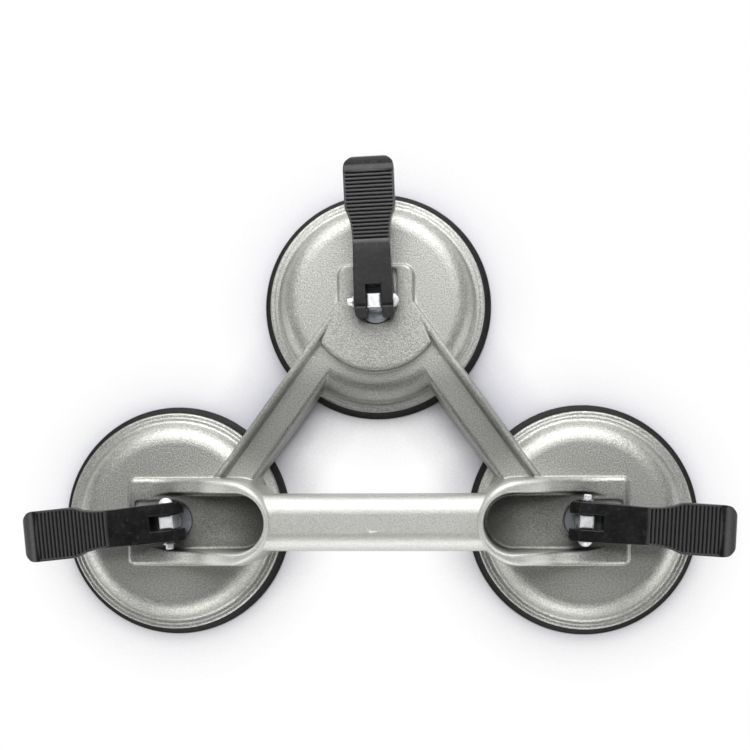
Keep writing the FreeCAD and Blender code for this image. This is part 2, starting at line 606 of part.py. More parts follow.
def lever():
    """Moulded lever with its cam ears, ribbed grip and cored-out underside."""
    width = 2 * GRIP_HALF_WIDTH + 4
    depth = CAM_LOCKED + 5
    side = lever_side()
    side.translate(Vector(0, -width / 2, 0))
    side = round_edges(side.extrude(Vector(0, width, 0)), EAR_EDGE,
                       lambda e: e.BoundBox.XMax < 0 and e.BoundBox.YLength > 1
                       and e.BoundBox.ZMin > EAR_REST - 0.1)
    plan = lever_plan()
    plan.translate(Vector(0, 0, -depth))
    body = side.common(plan.extrude(Vector(0, 0, 2 * depth)))
    slot = box((-depth, -FORK_SLOT / 2, -depth), (FORK_SLOT_END, FORK_SLOT / 2, depth))
    slot = round_edges(slot, FORK_SLOT_CORNER,
                       lambda e: e.BoundBox.XMin > FORK_SLOT_END - 0.1 and e.BoundBox.ZLength > 1)
    hole = along_y(PIN_RADIUS + PIN_PLAY / 2, -width, width)
    grip_top = LEVER_CROWN - GRIP_STEP
    rib_height = grip_top + RIB_RADIUS - RIB_DEPTH
    ribs = [along_y(RIB_RADIUS, -width, width, (RIB_START + (i + 0.5) * RIB_PITCH, rib_height))
            for i in range(RIB_COUNT)]
    half = LEVER_HALF_WIDTHS[3][1] - LEVER_SKIN
    top = grip_top - LEVER_SKIN
    core = box((LEVER_CORE[0], -half, -depth), (LEVER_LENGTH + LEVER_CORE[1], half, top))
    for x in LEVER_WEBS:
        core = core.cut(box((x - WEB_THICKNESS / 2, -half, -depth), (x + WEB_THICKNESS / 2, half, top)))
    body = body.cut([slot, hole, core] + ribs)
    body.translate(Vector(0, 0, PIVOT_HEIGHT))
    return body


def pivot_pin():
    """Pin through the fork and the stud, with a domed head and a groove for its clip."""
    ear = FORK_HALF_WIDTH
    tail = ear + PIN_TAIL
    dome_radius = (PIN_HEAD_RADIUS ** 2 + PIN_HEAD ** 2) / (2 * PIN_HEAD)
    dome = Part.makeSphere(dome_radius, Vector(0, -ear - PIN_HEAD + dome_radius, PIVOT_HEIGHT))
    head = along_y(PIN_HEAD_RADIUS, -ear - PIN_HEAD, -ear, (0, PIVOT_HEIGHT)).common(dome)
    shank = along_y(PIN_RADIUS, -ear, tail, (0, PIVOT_HEIGHT))
    shank = shank.makeChamfer(PIN_CHAMFER, [e for e in shank.Edges if e.BoundBox.YMin > tail - 0.1])
    start = ear + CLIP_OFFSET
    groove = along_y(PIN_RADIUS + 1, start, start + CLIP_THICKNESS, (0, PIVOT_HEIGHT))
    groove = groove.cut(along_y(CLIP_GROOVE, start, start + CLIP_THICKNESS, (0, PIVOT_HEIGHT)))
    return head.fuse(shank).cut(groove).removeSplitter()


def retaining_clip():
    """Spring-steel clip snapped into the pin's groove, open on one side."""
    start = FORK_HALF_WIDTH + CLIP_OFFSET
    end = start + CLIP_THICKNESS
    inner, outer = CLIP_RADII
    ring = along_y(outer, start, end, (0, PIVOT_HEIGHT)).cut(along_y(inner, start, end, (0, PIVOT_HEIGHT)))
    middle = (inner + outer) / 2
    teeth = []
    for turn in CLIP_TEETH:
        tooth = box((CLIP_GROOVE, start, -CLIP_TOOTH / 2), (middle, end, CLIP_TOOTH / 2))
        tooth.rotate(ORIGIN, SIDEWAYS, turn + 180)
        teeth.append(tooth.translate(Vector(0, 0, PIVOT_HEIGHT)))
    mouth = box((0, start, PIVOT_HEIGHT - CLIP_MOUTH / 2), (outer + 1, end, PIVOT_HEIGHT + CLIP_MOUTH / 2))
    return ring.cut(mouth).fuse(teeth)


# ---------------------------------------------------------------- one file per piece
write("frame_casting", frame_casting())
for cup in CUPS:
    yaw = LEVER_YAW[cup]
    write(f"{cup}_suction_pad", on_cup(suction_pad(), cup))
    write(f"{cup}_insert_plate", on_cup(insert_plate(), cup))
    write(f"{cup}_pull_stud", on_cup(pull_stud(), cup, yaw))
    write(f"{cup}_bearing_washer", on_cup(bearing_washer(), cup))
    write(f"{cup}_lever", on_cup(lever(), cup, yaw))
    write(f"{cup}_pivot_pin", on_cup(pivot_pin(), cup, yaw))
    write(f"{cup}_retaining_clip", on_cup(retaining_clip(), cup, yaw))
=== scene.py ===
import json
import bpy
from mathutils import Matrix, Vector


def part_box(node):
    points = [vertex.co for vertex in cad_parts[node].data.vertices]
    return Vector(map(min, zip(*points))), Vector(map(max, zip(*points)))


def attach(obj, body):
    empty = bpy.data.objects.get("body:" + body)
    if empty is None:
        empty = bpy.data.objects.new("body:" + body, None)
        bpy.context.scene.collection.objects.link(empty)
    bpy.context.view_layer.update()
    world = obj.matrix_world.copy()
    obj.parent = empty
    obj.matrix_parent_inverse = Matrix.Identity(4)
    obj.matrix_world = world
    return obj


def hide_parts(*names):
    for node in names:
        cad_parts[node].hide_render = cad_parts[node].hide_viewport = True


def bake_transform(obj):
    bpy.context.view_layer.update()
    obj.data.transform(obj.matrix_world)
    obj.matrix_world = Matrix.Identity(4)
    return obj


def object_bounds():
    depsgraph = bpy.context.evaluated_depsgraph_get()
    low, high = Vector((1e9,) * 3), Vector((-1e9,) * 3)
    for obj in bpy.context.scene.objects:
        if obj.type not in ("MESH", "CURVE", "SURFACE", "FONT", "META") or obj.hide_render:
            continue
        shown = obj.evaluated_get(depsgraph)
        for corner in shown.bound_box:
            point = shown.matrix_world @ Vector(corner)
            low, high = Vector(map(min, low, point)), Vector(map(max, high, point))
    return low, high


bl_info = {
    "name": "Tile Suction Lifter",
    "version": (1, 0, 0),
    "blender": (4, 5, 0),
    "location": "View3D > Sidebar > Tile Lifter",
    "description": "Finishes, rubber pads, moulded levers and a small studio for the three-cup tile lifter",
    "category": "Object",
}

from math import atan2, radians

import bpy
from bpy.props import FloatProperty, FloatVectorProperty, IntProperty, PointerProperty
from mathutils import Euler, Matrix, Vector

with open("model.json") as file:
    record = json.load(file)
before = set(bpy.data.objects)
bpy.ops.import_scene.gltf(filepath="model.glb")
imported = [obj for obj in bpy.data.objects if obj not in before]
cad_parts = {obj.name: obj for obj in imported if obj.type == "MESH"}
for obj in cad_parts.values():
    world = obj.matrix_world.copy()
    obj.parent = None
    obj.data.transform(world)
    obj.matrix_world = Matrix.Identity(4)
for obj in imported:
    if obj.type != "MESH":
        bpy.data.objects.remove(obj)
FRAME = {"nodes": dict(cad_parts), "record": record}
CAD_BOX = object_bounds()
MM = 0.001
CUPS = ("left", "right", "top")


def cup_centre(cup):
    """Middle of a cup on the ground, from its bearing washer."""
    low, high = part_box(f"{cup}_bearing_washer")
    return Vector(((low.x + high.x) / 2, (low.y + high.y) / 2, 0.0))


CENTRE = {cup: cup_centre(cup) for cup in CUPS}
HANDLE_Y = CENTRE["left"].y      # the handle lies between the left and the right cup

# Heights that the finishes follow
DISH_TOP = 18 * MM               # tops of the dishes, and floors of the grooves in the decks
DECK_TOP = 22 * MM               # tops of the decks round the forks
RIB_TOP = 38.1 * MM              # tops of the ribs on a lever that is locked flat


# ---------------------------------------------------------------- sizes and colours
def colour(name, description, default):
    return FloatVectorProperty(name=name, description=description, default=default, subtype="COLOR",
                               size=3, min=0.0, max=1.0)


def length(name, description, millimetres):
    return FloatProperty(name=name, description=description, default=millimetres * MM, subtype="DISTANCE",
                         unit="LENGTH", min=0.0, precision=5)


def share(name, description, default):
    return FloatProperty(name=name, description=description, default=default, subtype="FACTOR",
                         min=0.0, max=1.0)


def power(name, description, watts):
    return FloatProperty(name=name, description=description, default=watts, subtype="POWER",
                         unit="POWER", min=0.0)


class CastingSettings(bpy.types.PropertyGroup):
    """Look of the die-cast frame"""

    paint: colour("Silver paint", "Colour of the sprayed silver finish", (0.53, 0.53, 0.50))
    # painted highlight: the light colour laid along the casting's edges, over its upper parts and on the
    # groove floors beside the levers
    highlight_colour: colour("Bare metal", "Colour of the casting where hands and use have rubbed it", (0.82, 0.82, 0.79))
    stain: colour("Stain", "Colour of the faint oil stains in the corners", (0.33, 0.29, 0.23))
    grain: length("Grain", "Size of the sandy grain left by the die", 0.75)
    edge: length("Edge softness", "How far the paint rounds a sharp edge", 1.0)
    roughness: share("Roughness", "How dull the paint is", 0.46)
    metallic: share("Metallic", "How much the paint reflects like metal", 0.9)
    gloss: share("Gloss", "How much clear binder lies over the flakes", 0.12)


class RubberSettings(bpy.types.PropertyGroup):
    """Look and sizes of the rubber pads"""

    tone: colour("Rubber", "Colour of the moulded rubber", (0.009, 0.009, 0.0085))
    roughness: share("Roughness", "How dull the rubber is", 0.6)
    radius: length("Pad radius", "From the middle of a pad to its lip", 59.0)
    ring: length("Ring thickness", "Height of the sealing ring", 5.6)
    groove: length("Groove depth", "Depth of the three grooves in the sealing ring", 0.6)
    boss: length("Boss height", "Height of the boss round the stud", 12.4)
    pull: length("Pull", "How far the locked lever lifts the middle of the pad", 4.5)


class LeverSettings(bpy.types.PropertyGroup):
    """Look and sizes of the moulded levers"""

    tone: colour("Nylon", "Colour of the moulded levers", (0.010, 0.010, 0.0105))
    roughness: share("Roughness", "How dull the levers are", 0.25)
    rib_start: length("Rib start", "From the pivot to the first rib", 31.0)
    rib_pitch: length("Rib pitch", "From one rib to the next", 1.95)
    rib_count: IntProperty(name="Ribs", description="How many ribs the grip has", default=18, min=1, max=18)
    rib_depth: length("Rib depth", "Depth of the grooves between the ribs", 1.0)
    slot: length("Slot", "Width of the slot in the fork", 7.7)
    core_top: length("Core height", "Ceiling of the hollow underside, above the pivot", 3.0)
    edge: length("Edges", "Radius of the moulded edges", 0.36)


class HardwareSettings(bpy.types.PropertyGroup):
    """Look of the plated steel parts"""

    zinc: colour("Bright zinc", "Colour of the plated studs and pins", (0.96, 0.975, 0.99))
    steel: colour("Washer steel", "Colour of the washers and clips", (0.56, 0.61, 0.65))
    roughness: share("Roughness", "How dull the plating is", 0.38)


class StudioSettings(bpy.types.PropertyGroup):
    """Floor and lights"""

    floor: colour("Floor", "Colour of the floor", (0.55, 0.55, 0.62))
    shadow_reach: length("Shadow reach", "How far round the lifter the floor still shows its shadow", 30.0)
    key: power("Key light", "Power of the large soft light beyond the top cup", 8.0)
    top: power("Top light", "Power of the soft light over the top cup", 1.6)
    fill: power("Fill light", "Power of the low soft light on the handle's side", 2.4)
    side: power("Side lights", "Power of each low soft light at the sides", 1.7)
    room: share("Room light", "Strength of the light from all around", 0.05)


# ---------------------------------------------------------------- finishes
class Signal:
    """One output of a node, on which arithmetic adds Math nodes."""

    def __init__(self, nodes, socket):
        self.nodes = nodes
        self.socket = socket

    def maths(self, operation, first, second):
        return self.nodes.node("Math", {"operation": operation}, {0: first, 1: second})

    def __add__(self, other):
        return self.maths("ADD", self, other)

    def __sub__(self, other):
        return self.maths("SUBTRACT", self, other)

    def __rsub__(self, other):
        return self.maths("SUBTRACT", other, self)

    def __mul__(self, other):
        return self.maths("MULTIPLY", self, other)

    __radd__ = __add__
    __rmul__ = __mul__


class Nodes:
    """The shader nodes of a material or of the room."""

    def __init__(self, tree):
        self.tree = tree
        tree.nodes.clear()

    def node(self, kind, settings=None, inputs=None, output=0):
        """Add a node: its settings first, then what its sockets hold or are linked to."""
        node = self.tree.nodes.new("ShaderNode" + kind)
        for name, value in (settings or {}).items():
            setattr(node, name, value)
        for name, value in (inputs or {}).items():
            if isinstance(value, Signal):
                self.tree.links.new(value.socket, node.inputs[name])
            else:
                node.inputs[name].default_value = value
        return Signal(self, node.outputs[output]) if node.outputs else None

    def seen_by(self, *rays):
        """1 for rays of these kinds, 0 for all others."""
        return sum(self.node("LightPath", output=f"Is {ray} Ray") for ray in rays)


class Finish(Nodes):
    """A material under construction."""

    def __init__(self, name):
        self.material = bpy.data.materials.new(name)
        self.material.use_nodes = True
        super().__init__(self.material.node_tree)
        self.place = self.node("TexCoord", output="Object")

    def height(self):
        """Height above the ground."""
        return self.node("SeparateXYZ", inputs={0: self.place}, output="Z")

    def distance(self, middle):
        """Distance from a point."""
        return self.node("VectorMath", {"operation": "DISTANCE"}, {0: self.place, 1: middle}, 1)

    def noise(self, size, detail, roughness=0.5):
        """Cloudy noise from 0 to 1 whose patches are about size metres across."""
        return self.node("TexNoise", inputs={"Vector": self.place, "Scale": 1 / size, "Detail": detail,
                                             "Roughness": roughness})

    def grains(self, size):
        """Distance to the middle of the nearest of many small grains."""
        return self.node("TexVoronoi", inputs={"Vector": self.place, "Scale": 1 / size})

    def rounded(self, radius):
        """Normal of the surface as if its sharp edges had this radius."""
        return self.node("Bevel", {"samples": 4}, {"Radius": radius})

    def highlighted(self, softened):
        """From 0 on flat places to 1 along outer and inner edges, where the finishes lay painted highlights.
        """
        true = self.node("NewGeometry", output="Normal")
        return 1.0 - self.node("VectorMath", {"operation": "DOT_PRODUCT"}, {0: softened, 1: true}, 1)

    def shelter(self, distance):
        """From 0 in the open to 1 deep in corners and hollows."""
        return 1.0 - self.node("AmbientOcclusion", {"samples": 4}, {"Distance": distance}, "AO")

    def near_cups(self, inner, outer, height):
        """From 1 within the inner distance of a cup's middle at this height to 0 at the outer one."""
        middles = (CENTRE[cup] + Vector((0, 0, height)) for cup in CUPS)
        return sum(self.step(self.distance(middle), outer, inner) for middle in middles)

    def step(self, signal, low, high, start=0.0, end=1.0):
        """Smoothly from start to end as the signal goes from low to high."""
        return self.node("MapRange", {"interpolation_type": "SMOOTHSTEP"},
                         {"Value": signal, "From Min": low, "From Max": high, "To Min": start, "To Max": end})

    def blend(self, amount, first, second):
        """The first colour where the amount is 0, the second where it is 1."""
        return self.node("Mix", {"data_type": "RGBA"}, {0: amount, 6: first, 7: second}, 2)

    def bump(self, relief, depth, strength, normal):
        """Normal of a surface with a fine relief on it."""
        return self.node("Bump", inputs={"Height": relief, "Distance": depth, "Strength": strength,
                                         "Normal": normal})

    def surface(self, **inputs):
        """Finish the material with one Principled surface."""
        shader = self.node("BsdfPrincipled", inputs={key.replace("_", " "): value
                                                     for key, value in inputs.items()})
        self.node("OutputMaterial", inputs={"Surface": shader})
        return self.material


def rgba(tone, factor=1.0):
    """A setting's colour, made lighter or darker by a factor, as a colour socket takes it."""
    return (tone[0] * factor, tone[1] * factor, tone[2] * factor, 1.0)


WHITE = (1.0, 1.0, 1.0, 1.0)
DUST = (0.10, 0.095, 0.085, 1.0)
# painted highlight along the edges of the plated parts
EDGE_HIGHLIGHT = (0.9, 0.9, 0.9, 1.0)


def silver_paint(settings):
    """Sand-textured silver paint over die-cast aluminium, with painted highlights along its edges, over its
    upper parts and on the groove floors beside the levers, and painted shade in its hollows and round the
    triangle's middle.
    """
    finish = Finish("cast_aluminium_silver")
    soft = finish.rounded(settings.edge)
    sand = finish.noise(settings.grain, 3.0, 0.65)
    cloud = finish.noise(14 * MM, 3.0)
    flecks = finish.step(finish.grains(settings.grain * 0.6), 0.1, 0.6)
    height = finish.height()
    corners = finish.step(finish.shelter(7 * MM), 0.35, 0.9)
    # painted highlight along the edges, fainter low down on the dishes' rims
    edges = (finish.step(finish.highlighted(soft), 0.01, 0.16)
             * finish.step(height, DISH_TOP - 6 * MM, DISH_TOP - 1 * MM, 0.4, 1.0))
    # painted shade: hollows above the decks are darkened, most where they are deepest
    hollows = (finish.step(finish.shelter(24 * MM), 0.2, 0.6)
               * finish.step(height, DECK_TOP - 1.5 * MM, DECK_TOP))
    # painted highlight: everything well above the decks, the handle and the tops of the walls, is made
    # lighter and a little duller
    upper_highlight = finish.step(height, DECK_TOP + 12 * MM, DECK_TOP + 24 * MM)
    # painted light: the floors of the grooves beside the levers are made lighter and less metallic against
    # the shade of their walls
    grooves = (finish.near_cups(19 * MM, 22 * MM, DISH_TOP)
               * finish.step(height, DISH_TOP + 0.6 * MM, DISH_TOP + 0.2 * MM))

    # painted shade: the struts and walls are darker round the open middle of the triangle
    x, y = (finish.node("SeparateXYZ", inputs={0: finish.place}, output=axis) for axis in "XY")
    inside = (finish.step(y, HANDLE_Y + 18 * MM, HANDLE_Y + 36 * MM)
              * finish.step(y, HANDLE_Y + 86 * MM, HANDLE_Y + 68 * MM)
              * finish.step(x * x, (80 * MM) ** 2, (60 * MM) ** 2))

    # painted shade: the darkest paint, laid into the hollows and round the middle of the triangle
    dull, painted_shade = rgba(settings.paint, 0.8), rgba(settings.paint, 0.25)
    tone = finish.blend(finish.step(sand, 0.32, 0.68), rgba(settings.paint, 0.6), rgba(settings.paint, 1.32))
    for amount, layer in (
            (flecks * 0.22, dull),
            (cloud * 0.16, dull),
            (corners * finish.step(cloud, 0.45, 0.7) * 0.35, rgba(settings.stain)),
            (hollows * 0.95, painted_shade),
            (inside * 0.45, painted_shade),
            (upper_highlight * 0.5, rgba(settings.highlight_colour)),
            (edges * 0.55, rgba(settings.highlight_colour)),
            (grooves, rgba(settings.highlight_colour, 1.15))):
        tone = finish.blend(amount, tone, layer)
    dullness = settings.roughness + (sand - 0.5) * 0.22 + corners * 0.1 - edges * 0.08 + upper_highlight * 0.1
    return finish.surface(Base_Color=tone, Metallic=settings.metallic - grooves * 0.7, Roughness=dullness,
                          Coat_Weight=settings.gloss, Coat_Roughness=0.18,
                          Normal=finish.bump(sand, 0.22 * MM, 0.9, soft))


def rib_tops(finish):
    """From 0 to 1 on the tops of the levers' ribs."""
    height = finish.height()
    low, high = RIB_TOP - 0.2 * MM, RIB_TOP + 0.1 * MM
    level = finish.step(height, low - 0.6 * MM, low) * finish.step(height, high + 0.4 * MM, high)
    past_the_shank = 1.0 - finish.near_cups(28 * MM, 31 * MM, low)
    before_the_nose = finish.near_cups(65.8 * MM, 66.5 * MM, low)
    return level * past_the_shank * before_the_nose


def moulded(name, settings, grain, edge, gloss, ribbed=False):
    """Moulded rubber or nylon: faintly mottled, scuffed, with painted shade in its gaps and painted
    highlights along its edges and, when ribbed, on its ribs' tops.
    """
    finish = Finish(name)
    soft = finish.rounded(edge)
    speck = finish.noise(grain, 3.0, 0.6)
    cloud = finish.noise(9 * MM, 4.0, 0.6)
    dust = finish.step(finish.shelter(4 * MM), 0.3, 0.9) * finish.step(cloud, 0.4, 0.75)
    scuffs = finish.step(finish.noise(2.4 * MM, 5.0, 0.75), 0.52, 0.7)
    # painted highlight along the edges
    edges = finish.step(finish.highlighted(finish.rounded(edge * 2.2)), 0.03, 0.25)
    # painted shade in the gaps between the ribs and in other narrow hollows, which are also made duller
    gaps = finish.step(finish.shelter(1.6 * MM), 0.3, 0.7)
    tone = settings.tone
    colours = finish.blend(finish.step(cloud, 0.3, 0.7), rgba(tone, 0.8), rgba(tone, 1.5))
    colours = finish.blend(dust * 0.12, colours, DUST)
    colours = finish.blend(scuffs * 0.5, colours, rgba(tone, 5.0))
    colours = finish.blend(edges * 0.8, colours, rgba(tone, 13.0))
    dullness = settings.roughness + (speck - 0.5) * 0.16 + (cloud - 0.5) * 0.12 - edges * 0.1 + gaps * 0.5
    if ribbed:
        # painted highlight on the tops of the ribs
        ribs = rib_tops(finish)
        colours = finish.blend(ribs * 0.9, colours, rgba(tone, 6.0))
        dullness = dullness - ribs * 0.12
    colours = finish.blend(gaps * 0.85, colours, rgba(tone, 0.2))
    return finish.surface(Base_Color=colours, Roughness=dullness, Specular_IOR_Level=0.25 + gloss * 0.5,
                          Coat_Weight=gloss, Coat_Roughness=0.2,
                          Normal=finish.bump(speck, 0.03 * MM, 0.3, soft))


def plated(name, tone, dull, edge, metal):
    """Plated steel with a little brushing, softened edges, dull patches, painted highlights along its edges
    and painted shade in its nooks.
    """
    finish = Finish(name)
    soft = finish.rounded(edge)
    cloud = finish.noise(3.5 * MM, 3.0)
    scratch = finish.noise(0.35 * MM, 4.0, 0.7)
    # painted highlight along the edges
    edges = finish.step(finish.highlighted(soft), 0.02, 0.2)
    # painted shade in the nooks, such as under the forks
    nook_shade = finish.step(finish.shelter(6 * MM), 0.45, 0.85)
    colours = finish.blend(finish.step(cloud, 0.35, 0.7), rgba(tone), rgba(tone, 0.72))
    colours = finish.blend(edges * 0.5, colours, EDGE_HIGHLIGHT)
    colours = finish.blend(nook_shade * 0.9, colours, rgba(tone, 0.06))
    return finish.surface(Base_Color=colours, Metallic=metal, Roughness=dull + (cloud - 0.5) * 0.16,
                          Normal=finish.bump(scratch, 0.02 * MM, 0.4, soft))


# ---------------------------------------------------------------- operators
def dress(node, material):
    """Give a piece of the frame a new finish."""
    slots = FRAME["nodes"][node].data.materials
    slots.clear()
    slots.append(material)


class TILELIFTER_OT_casting(bpy.types.Operator):
    """Give the die-cast frame its silver finish"""

    bl_idname = "tile_lifter.casting"
    bl_label = "Finish the casting"

    def execute(self, context):
        dress("frame_casting", silver_paint(context.scene.tile_lifter_casting))
        return {"FINISHED"}


PAD_SIDES = 160                  # points round each circle of a pad


def turned(name, profile):
    """Solid of revolution: a circle drawn on, ring by ring, along a closed outline of radii and heights."""
    bpy.ops.object.select_all(action="DESELECT")
    radius, height = profile[0]
    bpy.ops.mesh.primitive_circle_add(vertices=PAD_SIDES, radius=radius, location=(0, 0, height))
    bpy.ops.object.mode_set(mode="EDIT")
    bpy.ops.mesh.select_all(action="SELECT")
    for (r0, z0), (r1, z1) in zip(profile, profile[1:] + profile[:1]):
        bpy.ops.mesh.extrude_edges_move(TRANSFORM_OT_translate={"value": (0, 0, z1 - z0)})
        bpy.ops.transform.resize(value=(r1 / r0, r1 / r0, 1), center_override=(0, 0, z1))
    bpy.ops.mesh.select_all(action="SELECT")
    bpy.ops.mesh.remove_doubles(threshold=0.02 * MM)
    bpy.ops.mesh.normals_make_consistent(inside=False)
    bpy.ops.object.mode_set(mode="OBJECT")
    return settled(name)


def settled(name):
    """Name the active object, put its place into its mesh and round its shading."""
    piece = bpy.context.object
    piece.name = piece.data.name = name
    bpy.ops.object.transform_apply(location=True, rotation=True, scale=True)
    bpy.ops.object.shade_smooth_by_angle(angle=radians(35))
    return piece


def placed(piece, name, matrix):
    """A copy of a piece with its own mesh, moved to its place."""
    copy = piece.copy()
    copy.data = piece.data.copy()
    copy.name = copy.data.name = name
    copy.data.transform(matrix)
    bpy.context.scene.collection.objects.link(copy)
    return copy


# Outlines of a pad, in millimetres
RING_WIDTH = 16.0
GROOVES = (12.0, 8.5, 5.0)       # from the pad's edge to the middles of the grooves
# A groove's section: from its middle, and share of its depth
GROOVE_SIDES = ((-0.6, 0.0), (-0.4, 0.75), (0.0, 1.0), (0.4, 0.75), (0.6, 0.0))
# The ring's lip: in from the pad's edge, and up from the ground
LIP = ((0.7, 0.0), (0.2, 0.2), (0.0, 0.6), (0.0, 1.2), (0.25, 1.6), (0.7, 1.75), (1.4, 2.1))
# The ring's back: in from the pad's edge, and down from the ring's top
SHOULDER = ((2.6, 2.3), (3.3, 1.2), (3.8, 0.4), (4.4, 0.05), (5.2, 0.0), (14.6, 0.0), (15.6, 0.4),
            (16.0, 1.2))
# The membrane's underside: out from the ring's inner edge, and share of the pull
UNDERSIDE = ((1.8, 0.16), (0.0, 0.03), (-3.0, 0.10), (-7.0, 0.32), (-12.5, 0.62), (-18.0, 0.88),
             (-22.0, 0.97), (-25.5, 1.0), (-32.0, 1.0), (-37.8, 1.0))
# The chamber that holds the steel plate: radius and height
CHAMBER = ((5.2, 7.6), (19.2, 7.6), (19.2, 9.9), (5.2, 9.9))
# The membrane's back: radius, and down from the boss's top, then radius, and up from the ring's top
BOSS = ((5.2, 0.0), (12.0, 0.0), (20.6, 0.0), (21.6, 0.4), (22.0, 1.2), (22.4, 4.2), (24.0, 4.9),
        (29.0, 5.2))
SKIRT = ((37.0, 0.9), (42.0, -0.4), (44.8, -0.8))


def pad_outlines(settings):
    """Outlines of the sealing ring and of the membrane with its boss, as (radius, height) in metres."""
    edge, top, boss = settings.radius, settings.ring, settings.boss
    inner = edge - RING_WIDTH * MM
    ring = [(inner, 0.5 * MM), (inner + 0.4 * MM, 0.1 * MM), (inner + 1.0 * MM, 0.0)]
    ring += [(edge - groove * MM + across * MM, settings.groove * deep)
             for groove in GROOVES for across, deep in GROOVE_SIDES]
    ring += [(edge - inwards * MM, rise * MM) for inwards, rise in LIP]
    ring += [(edge - inwards * MM, top - drop * MM) for inwards, drop in SHOULDER]
    membrane = [(inner + outwards * MM, settings.pull * part) for outwards, part in UNDERSIDE]
    membrane += [(radius * MM, height * MM) for radius, height in CHAMBER]
    membrane += [(radius * MM, boss - drop * MM) for radius, drop in BOSS]
    membrane += [(radius * MM, top + rise * MM) for radius, rise in SKIRT]
    return ring, membrane


class TILELIFTER_OT_pads(bpy.types.Operator):
    """Make the rubber pads: a grooved sealing ring, and a membrane that the stud draws up"""

    bl_idname = "tile_lifter.pads"
    bl_label = "Make the pads"

    def execute(self, context):
        settings = context.scene.tile_lifter_rubber
        material = moulded("black_rubber_pad", settings, grain=0.5 * MM, edge=0.2 * MM, gloss=0.0)
        ring_outline, membrane_outline = pad_outlines(settings)
        ring = turned("pad_ring_form", ring_outline)
        membrane = turned("pad_membrane_form", membrane_outline)
        for piece in (ring, membrane):
            piece.data.materials.append(material)
        for cup in CUPS:
            place = Matrix.Translation(CENTRE[cup])
            rim = placed(ring, f"{cup}_pad_ring", place)
            middle = placed(membrane, f"{cup}_pad_membrane", place)
            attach(rim, f"{cup}_pad_body")
            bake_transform(middle)
            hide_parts(f"{cup}_suction_pad")
        for piece in (ring, membrane):
            bpy.data.objects.remove(piece)
        return {"FINISHED"}


def pick_faces(test):
    """Select just the faces whose middle and normal pass the test, middles in millimetres."""
    bpy.ops.mesh.select_mode(type="FACE")
    bpy.ops.mesh.select_all(action="DESELECT")
    bpy.ops.object.mode_set(mode="OBJECT")
    for face in bpy.context.object.data.polygons:
        face.select = test(face.center / MM, face.normal)
    bpy.ops.object.mode_set(mode="EDIT")


def pick_points(test):
    """Select just the points that pass the test, in millimetres."""
    bpy.ops.mesh.select_mode(type="VERT")
    bpy.ops.mesh.select_all(action="DESELECT")
    bpy.ops.object.mode_set(mode="OBJECT")
    for point in bpy.context.object.data.vertices:
        point.select = test(point.co / MM)
    bpy.ops.object.mode_set(mode="EDIT")


def drawn_on(sections):
    """Draw the selected end faces on along sections of (x, half width, top, underside) in millimetres."""
    for (x0, w0, top0, low0), (x1, w1, top1, low1) in zip(sections, sections[1:]):
        step = ((x1 - x0) * MM, 0, (top1 + low1 - top0 - low0) / 2 * MM)
        bpy.ops.mesh.extrude_region_move(TRANSFORM_OT_translate={"value": step})
        bpy.ops.transform.resize(value=(1, w1 / w0, (top1 - low1) / (top0 - low0)),
                                 center_override=(x1 * MM, 0, (top1 + low1) / 2 * MM))


# A lever about its pivot, in millimetres: (x, half width, top, underside), from the fork's root outwards
SHANK = ((8.2, 9.8, 6.2, -12.06), (8.6, 9.8, 6.2, -11.6), (10.1, 9.8, 6.2, -9.9), (14, 9.7, 6.2, -9.4),
         (17, 9.62, 6.2, -9.0), (20, 9.54, 6.2, -7.8), (23, 9.46, 6.2, -5.8), (24.6, 9.42, 6.2, -4.7),
         (27, 9.36, 6.2, -3.3), (28.6, 9.35, 6.05, -2.7), (30.2, 9.36, 5.7, -2.3))
NOSE = ((66.7, 12.8, 5.45, -3.5), (67.4, 12.8, 5.15, -3.85), (68.2, 12.75, 4.75, -4.2),
        (69.1, 12.6, 4.2, -4.35), (70.1, 12.4, 3.4, -4.4), (70.9, 12.05, 2.75, -4.4),
        (71.6, 11.6, 2.15, -4.4), (72.8, 10.4, 1.0, -4.25), (73.6, 9.3, 0.0, -4.0), (74.1, 8.0, -1.2, -3.7),
        (74.3, 6.6, -2.3, -3.3))
# The same from the fork's root back along the two ears to the end of the cam
EARS = ((8.2, 9.8, 6.2, -12.06), (7.5, 9.8, 6.2, -12.85), (2.87, 9.8, 6.2, -12.85), (0.68, 9.8, 6.2, -12.66),
        (-1.36, 9.8, 6.2, -12.12), (-2.6, 9.8, 6.15, -11.6), (-3.2, 9.8, 5.85, -11.26),
        (-3.9, 9.8, 5.2, -10.8), (-5.47, 9.8, 3.28, -9.52), (-7.1, 9.8, 1.09, -7.41),
        (-8.05, 9.8, -0.19, -5.12), (-8.35, 9.8, -0.6, -2.87))
EAR_CORNERS = ((-9.0, -8.2, 8.3), (-8.2, -7.9, 8.6))                          # from x to x, half width
GRIP_WIDTHS = ((31, 9.38), (37, 9.75), (42, 10.8), (46.5, 12.6), (49.5, 12.8), (67, 12.8))    # x, half width
CORES = ((14, 23), (24.6, 34.9), (35.9, 45.6), (46.6, 55.4), (56.3, 64.2))    # from x to x, between the webs
FORK = 9.8                       # half the fork's width
BORDER = 9.0                     # half the ribbed field's width, where the lever is as wide as the fork
FIELD = 8.0                      # faces of the field have their middles within this, those of the border not
WALL = 1.3                       # thickness of the walls round the hollow underside
GRIP_TOP, GRIP_UNDERSIDE = 5.6, -2.2
DROOP_START, DROOP = 60.3, 0.16  # where the grip's underside starts to fall, and how steeply


def grip_section(x):
    """The grip's section at x: (x, half width, top, underside) in millimetres."""
    width = next(w0 + (w1 - w0) * (x - x0) / (x1 - x0)
                 for (x0, w0), (x1, w1) in zip(GRIP_WIDTHS, GRIP_WIDTHS[1:]) if x <= x1)
    return (x, width, GRIP_TOP, GRIP_UNDERSIDE - max(0.0, x - DROOP_START) * DROOP)


